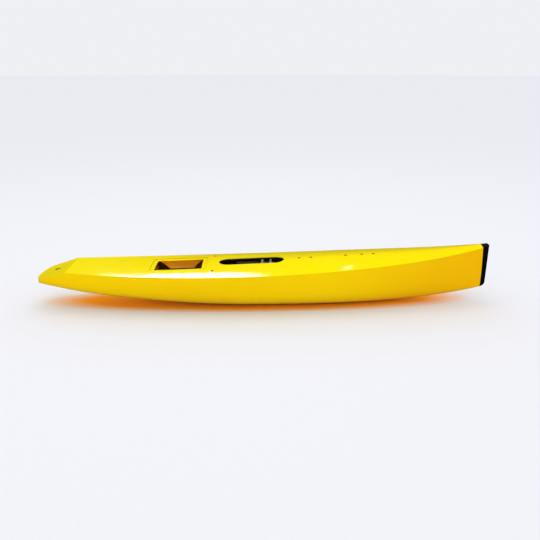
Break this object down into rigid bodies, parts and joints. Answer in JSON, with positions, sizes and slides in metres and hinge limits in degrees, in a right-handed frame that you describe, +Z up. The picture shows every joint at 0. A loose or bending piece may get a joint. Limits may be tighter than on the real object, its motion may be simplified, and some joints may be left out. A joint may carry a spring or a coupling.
{
  "type": "model racing yacht hull",
  "caption": "Bare hull of a one-metre radio-controlled racing yacht: moulded shell and deck, rubber bow bumper, fin and mast well, fin box, radio tray and rudder tube.",
  "frame": {"origin": "on the surface the hull rests on, under the middle of its length and beam", "axes": "+X to the bow, +Y to port, +Z up"},
  "size_m": [0.996, 0.1649, 0.1328],
  "materials": {
    "yellow_hull": "polished gelcoat",
    "yellow_deck": "polished gelcoat",
    "black_rubber": "satin elastomer",
    "black_laminate": "carbon laminate",
    "black_sheet": "satin sheet",
    "black_plastic": "moulded",
    "stainless": "turned",
    "anodised": "anodised",
    "plywood": "sealed plywood",
    "brass": "drawn tube"
  },
  "bodies": {
    "root": {"hull_shell": "yellow_hull", "deck": "yellow_deck", "bow_bumper": "black_rubber", "fin_mast_well": "black_laminate", "fin_box": "black_laminate", "fin_box_cap": "black_laminate", "fin_screw_washers": "stainless", "fin_screws": "stainless", "mast_step_plate": "anodised", "mast_step_screws": "stainless", "rc_tray": "black_sheet", "hatch_nut_pads": "black_plastic", "shroud_pads": "plywood", "shroud_bushes": "black_plastic", "foredeck_strip": "plywood", "foredeck_bushes": "black_plastic", "shroud_frame": "plywood", "mast_frame": "plywood", "rudder_tube": "brass", "rudder_upper_bush": "black_plastic", "rudder_lower_bush": "black_plastic"}
  },
  "joints": []
}
